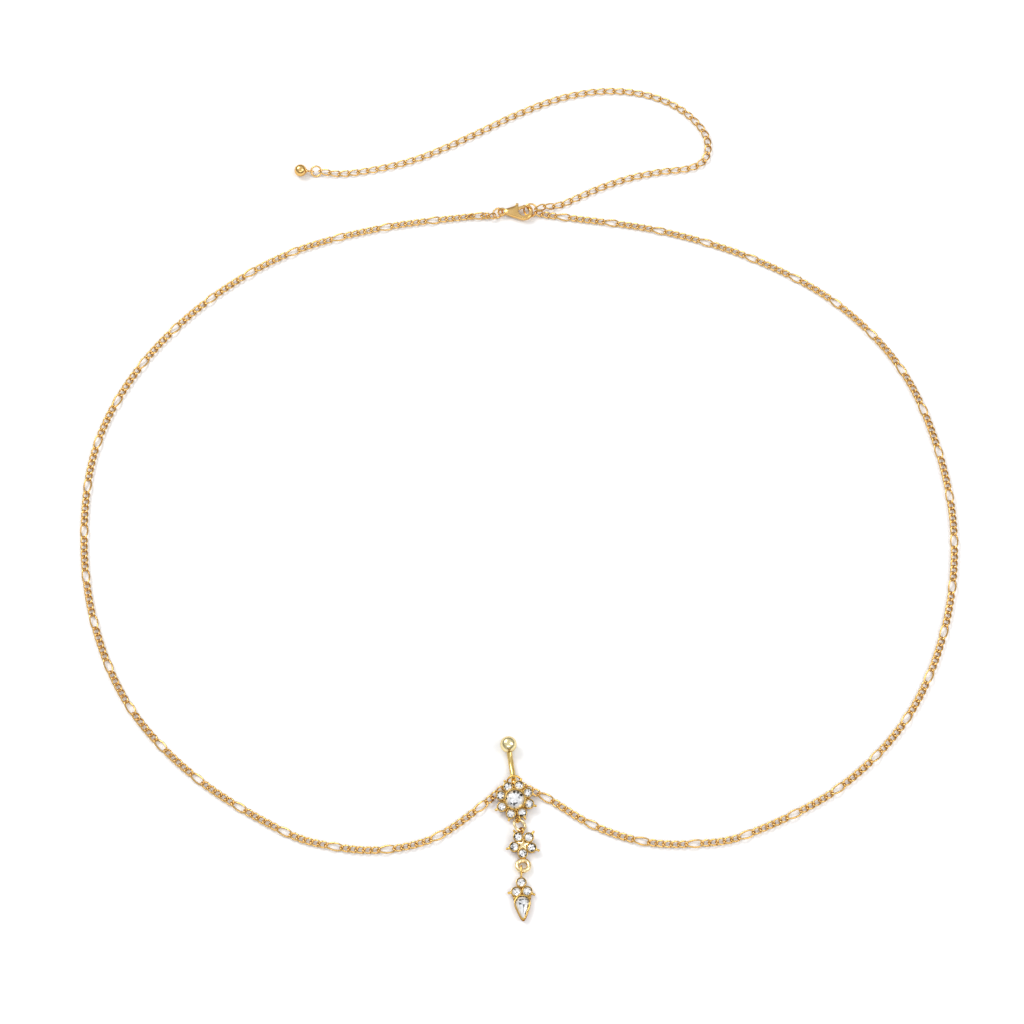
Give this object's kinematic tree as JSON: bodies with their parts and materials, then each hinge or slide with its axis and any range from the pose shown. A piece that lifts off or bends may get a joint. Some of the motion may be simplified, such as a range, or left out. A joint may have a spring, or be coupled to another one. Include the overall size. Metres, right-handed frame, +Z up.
{
  "type": "waist chain",
  "caption": "Fine figaro waist chain with a lobster clasp, an extender chain, and a curved navel bar that carries a hanging flower, star and pear drop with clear stones.",
  "frame": {"origin": "centre of the bounding box's foot, on the surface that the chain lies on", "axes": "+Z up from that surface, +Y from the pendant towards the clasp, +X to the viewer's right with the pendant nearest"},
  "size_m": [0.2784, 0.2992, 0.005],
  "materials": {
    "chain_gold": "polished",
    "fitting_gold": "polished",
    "setting_gold": "polished",
    "pale_gold": "polished",
    "crystal": "cut and polished"
  },
  "bodies": {
    "waist_chain": {"chain_left": "chain_gold", "chain_right": "chain_gold", "extender": "chain_gold", "clasp_ring": "fitting_gold", "clasp_body": "fitting_gold", "end_ring": "fitting_gold", "tag_ring": "fitting_gold", "tag_ball": "fitting_gold", "navel_bar": "setting_gold", "navel_ring": "fitting_gold", "big_stone": "crystal", "flower_stones": "crystal", "drop_ring": "fitting_gold", "star_setting": "setting_gold", "star_stones": "crystal", "drop_setting": "setting_gold", "drop_stones": "crystal", "pear_stone": "crystal"},
    "lever": {"clasp_lever": "fitting_gold"},
    "ball": {"bar_ball": "pale_gold"}
  },
  "joints": [
    {"name": "lever_pivot", "type": "hinge", "parent": "waist_chain", "child": "lever", "pos_m": [-0.0016, 0.10014, 0.0016], "axis": [0, 0, 1], "range_deg": [-10, 0], "stiffness_Nm_per_rad": 0.002, "springref_deg": 20.05},
    {"name": "ball_off", "type": "slide", "parent": "waist_chain", "child": "ball", "axis": [-0.1241, 0.8825, 0.4537], "range_m": [0, 0.004]}
  ]
}
